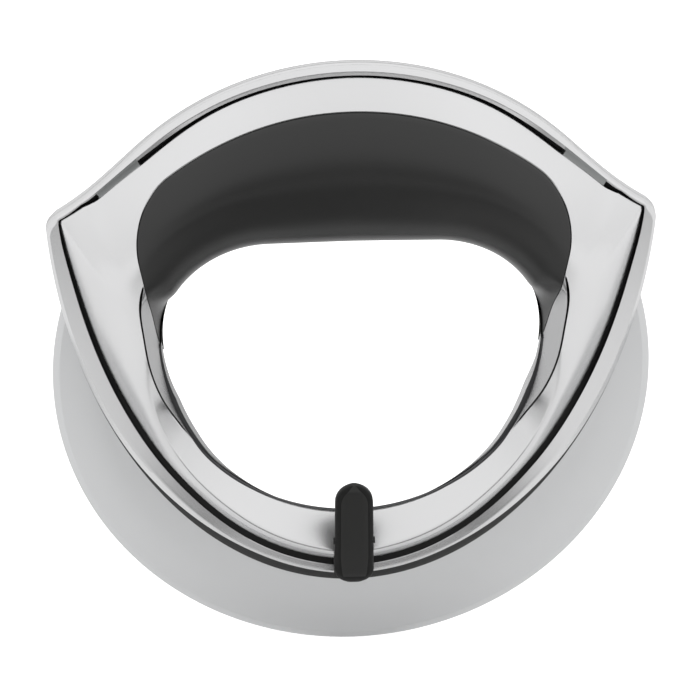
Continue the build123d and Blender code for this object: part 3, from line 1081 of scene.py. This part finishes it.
@dataclass
class PressLever:
    """The release lever: a bevelled bar with a splayed foot and a pocket for its saddle; its bevels and foot
    are painted darker as shade.
    """

    top: float = 25.0
    bottom: float = 51.0
    cap_r: float = 4.45
    foot_r: float = 4.6
    front: float = 13.4
    back: float = 10.3
    chin: float = 46.8
    toe_front: float = 8.5
    toe_depth: float = 3.65
    toe_top: float = 48.7
    heel: float = 44.0
    bevel: float = 1.3
    splay: float = 0.3
    cap_fall: float = 1.1
    cap_reach: float = 1.6
    pocket_half: float = 2.6
    pocket_r: float = 1.9
    pocket_reach: float = 3.4
    pocket_level: float = 11.65
    pivot_drop: float = 39.5
    pivot_depth: float = 11.2
    chin_turn: float = 0.9
    # Columns of the bevel faces, which take the painted shade.
    shaded_columns: tuple[int, ...] = (3, 4, 5, 6, 10, 11, 12, 13)

    def drops(self) -> Array:
        """How far below the blade's centre each section of the lever lies."""
        arcs = np.radians(np.linspace(6, 90, 13))
        cap = self.top + self.cap_r * (1 - np.cos(arcs))
        foot = self.bottom - self.foot_r * (1 - np.cos(arcs[::-1]))
        reaches = np.array((self.pocket_reach - 0.01, self.pocket_reach + 0.01, self.pocket_r))
        edges = self.pivot_drop + np.concatenate((-reaches, reaches))
        bar = np.linspace(self.top + self.cap_r, self.bottom - self.foot_r, 26)[1:-1]
        ring = self.pivot_drop + self.pocket_r * np.sin(np.radians(np.linspace(-70, 70, 9)))
        return np.unique(np.round(np.concatenate((cap, bar, ring, edges, foot)), 4))

    def half_width(self, drop: float) -> float:
        """Half of the lever's width at one section."""
        high, low = self.top + self.cap_r, self.bottom - self.foot_r
        if drop < high:
            return math.sqrt(self.cap_r**2 - (high - drop) ** 2)
        if drop > low:
            return math.sqrt(max(self.foot_r**2 - (drop - low) ** 2, 0.04))
        return self.cap_r + (self.foot_r - self.cap_r) * (drop - high) / (low - high)

    def pocket(self, drop: float, back: float) -> float:
        """Depth of the saddle pocket's bed at one section, or of the lever's back outside it."""
        away = abs(drop - self.pivot_drop)
        if away <= self.pocket_r:
            return max(self.pocket_level, self.pivot_depth + math.sqrt(self.pocket_r**2 - away**2))
        return self.pocket_level if away < self.pocket_reach else back

    def section(self, drop: float) -> list[Triple]:
        """One closed section of the lever, in the object's frame."""
        half = self.half_width(drop)
        fall = np.clip((drop - self.chin) / (self.bottom - self.chin), 0.0, 1.0)
        front = self.toe_front + (self.front - self.toe_front) * math.sqrt(1 - 0.98 * fall**2)
        front -= self.cap_fall * ease(drop, self.top + self.cap_reach, self.top) ** 2
        back = float(np.interp(drop, (self.heel, self.toe_top), (self.back, self.toe_depth)))
        spread = 1.0 + self.splay * ease(drop, self.heel - 2.0, self.chin + 1.0)
        bevel = min(self.bevel * spread, half * 0.55)
        drop_off = min(self.bevel, (front - back) * 0.4)
        slot = min(self.pocket_half, half * 0.6)
        bed = self.pocket(drop, back)
        right = [
            (slot, bed), (slot, back), (half - 0.25 * min(1.0, half), back), (half, back + 0.25),
            (half, front - drop_off), (half - bevel * 0.3, front - drop_off * 0.45),
            (half - bevel * 0.75, front - drop_off * 0.08),
            (half - bevel, front), ((half - bevel) * 0.5, front + 0.02),
        ]
        loop = right + [(-x, depth) for x, depth in reversed(right)]
        return [(x, -depth, CENTRE_Z - drop) for x, depth in loop]

    def build(self) -> list[Piece]:
        """Lofts the lever through its sections.

        Returns:
            The lever, in place of its solid.
        """
        drops = self.drops()
        rows = [self.section(float(drop)) for drop in drops]
        # The bevels, and everything below the chin, take the darker copy: painted shade.
        shaded_sides = [int(column in self.shaded_columns) for column in range(len(rows[0]))]
        choice = []
        for drop in drops[:-1]:
            choice += [1] * len(shaded_sides) if drop > self.chin + self.chin_turn else shaded_sides
        choice += [1, 1]
        finishes = [LEVER_BLACK, LEVER_SHADE]
        lever = loft_piece("press_lever", rows, finishes, closed=False, choice=choice, sharp=50.0)
        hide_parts("release_lever")
        dress("release_lever", LEVER_BLACK)
        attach(lever, "lever")
        return [lever]


@dataclass
class Fittings:
    """The small and the hidden pieces, which keep their solids."""

    dresses: tuple[tuple[Finish, tuple[str, ...]], ...] = (
        (LEVER_BLACK, ("lever_saddle", "lever_keeper", "lever_pin")),
        (PIN_STEEL, ("locating_dowels", "front_bearing_pegs", "rear_bearing_pegs")),
        (BEARING, ("front_bearing_ring", "rear_bearing_ring")),
    )

    def build(self) -> list[Piece]:
        """Dresses each solid that stays in view or inside."""
        return [dress(name, finish) for finish, names in self.dresses for name in names]


@dataclass
class Studio:
    """Floor, soft light and the camera."""

    elevation: float = 24.7
    azimuth: float = -3.5
    lens: float = 800.0
    sensor: float = 36.0
    field_width: float = 164.06
    aim_up: float = 4.1
    aim_right: float = -0.26
    floor_r: float = 4.0
    floor_z: float = -0.0001
    paper: float = 0.84
    shade: float = 0.74
    glow: float = 0.45
    glow_gain: float = 1.1
    shade_zones: tuple[tuple[Span, Span], ...] = (
        ((-0.34, -0.17), (0.08, 0.28)),
        ((-0.13, -0.05), (0.02, 0.055)),
    )

    def floor(self) -> None:
        """Lays the floor: it looks plain and pale to the camera, but is not plain in reflections.

        Two dark zones in front of the part darken what the polished band mirrors, and a glow that only
        camera rays see evens them out in the picture.
        """
        turns = np.linspace(0, 2 * math.pi, 72, endpoint=False)
        rim = [(self.floor_r * math.cos(turn), self.floor_r * math.sin(turn)) for turn in turns]
        points = [(x, y, self.floor_z) for x, y in rim]
        mesh = bpy.data.meshes.new("pale_floor")
        mesh.from_pydata(points, [], [tuple(range(len(points)))])
        paper = bpy.data.materials.new("pale_paper")
        paper.use_nodes = True
        graph = Graph(paper.node_tree)
        shader = paper.node_tree.nodes["Principled BSDF"].inputs
        parts = graph.parts(graph.place())
        aside = graph.math("ABSOLUTE", parts["X"])
        shades = []
        for ahead, across in self.shade_zones:
            begun = graph.ramp(parts["Y"], ahead, (self.shade, 0.0))
            shades.append(graph.math("MULTIPLY", begun, graph.ramp(aside, across, (1.0, 0.0))))
        near = graph.ramp(parts["Y"], (-0.9, -0.6), (0.0, 1.0))
        shade = graph.math("MULTIPLY", graph.math("MAXIMUM", *shades), near)
        graph.feed(shader["Base Color"], graph.math("SUBTRACT", self.paper, shade))
        shader["Roughness"].default_value = 0.9
        shader["Emission Color"].default_value = (1.0, 1.0, 1.0, 1.0)
        even = graph.math("ADD", self.glow, graph.math("MULTIPLY", shade, self.glow_gain))
        seen = graph.add("ShaderNodeLightPath").outputs["Is Camera Ray"]
        graph.feed(shader["Emission Strength"], graph.math("MULTIPLY", seen, even))
        mesh.materials.append(paper)
        floor = bpy.data.objects.new("pale_floor", mesh)
        show(floor)

    def lamp(self, name: str, place: Triple, size: Span, power: float) -> None:
        """Hangs one soft box, turned to the object and left out of reflections.

        Args:
            name: The lamp's name.
            place: Where it hangs, in metres.
            size: Its width and height.
            power: Its power in watts.
        """
        light = bpy.data.lights.new(name, "AREA")
        light.shape = "RECTANGLE"
        light.size, light.size_y = size
        light.energy = power
        lamp = bpy.data.objects.new(name, light)
        lamp.location = place
        lamp.rotation_euler = (CENTRE - Vector(place)).to_track_quat("-Z", "Y").to_euler()
        lamp.visible_glossy = False
        show(lamp)

    def sky(self) -> None:
        """Fills the room with white light, brightest overhead and weaker from the camera's side."""
        world = bpy.data.worlds.new("white_room")
        world.use_nodes = True
        graph = Graph(world.node_tree)
        parts = graph.parts(graph.place("Generated"))
        above = graph.ramp(parts["Z"], (0.0, 0.95), (0.98, 1.14))
        across = graph.ramp(parts["X"], (-1.0, 1.0), (0.02, 0.04))
        ahead = graph.ramp(parts["Y"], (-1.0, -0.78), (0.78, 0.0))
        low = graph.ramp(parts["Z"], (0.05, 0.7), (1.0, 0.0))
        front = graph.ramp(parts["Y"], (-0.75, -0.4), (0.2, 0.0))
        high = graph.ramp(parts["Z"], (0.4, 0.7), (0.0, 1.0))
        dims = graph.math("MULTIPLY", ahead, low), graph.math("MULTIPLY", front, high)
        light = graph.math("SUBTRACT", graph.math("ADD", above, across), graph.math("ADD", *dims))
        background = world.node_tree.nodes["Background"].inputs
        background["Color"].default_value = (1.0, 1.0, 1.0, 1.0)
        graph.feed(background["Strength"], light)
        bpy.context.scene.world = world

    def camera(self) -> None:
        """Sets the camera at the photograph's angle."""
        turn, lift = math.radians(self.azimuth), math.radians(self.elevation)
        back = Vector((math.sin(turn) * math.cos(lift), -math.cos(turn) * math.cos(lift), math.sin(lift)))
        right = Vector((math.cos(turn), math.sin(turn), 0.0))
        data = bpy.data.cameras.new("photo_camera")
        data.lens = self.lens
        data.sensor_width = self.sensor
        camera = bpy.data.objects.new("photo_camera", data)
        target = CENTRE + back.cross(right) * (self.aim_up * MM) + right * (self.aim_right * MM)
        camera.location = target + back * (self.field_width * self.lens / self.sensor * MM)
        camera.rotation_euler = (-back).to_track_quat("-Z", "Y").to_euler()
        show(camera)
        bpy.context.scene.camera = camera

    def build(self) -> None:
        """Puts up the whole studio."""
        self.floor()
        self.sky()
        self.lamp("key_box", (-0.5, -0.9, 1.3), (1.2, 0.9), 4.5)
        self.lamp("fill_box", (1.1, -0.7, 0.8), (0.9, 0.9), 2.0)
        self.camera()
        bpy.context.scene.view_settings.view_transform = "Standard"


def main() -> None:
    """Builds the pizza cutter and its studio."""
    logging.basicConfig(level=logging.INFO)
    ring = HandRing()
    for builder in (ring, RingBlade(), SaddleFoot(ring.section(0)), PressLever(), Fittings()):
        for piece in builder.build():
            LOG.info("%s built %s", type(builder).__name__, piece.name)
    Studio().build()


if __name__ == "__main__":
    main()
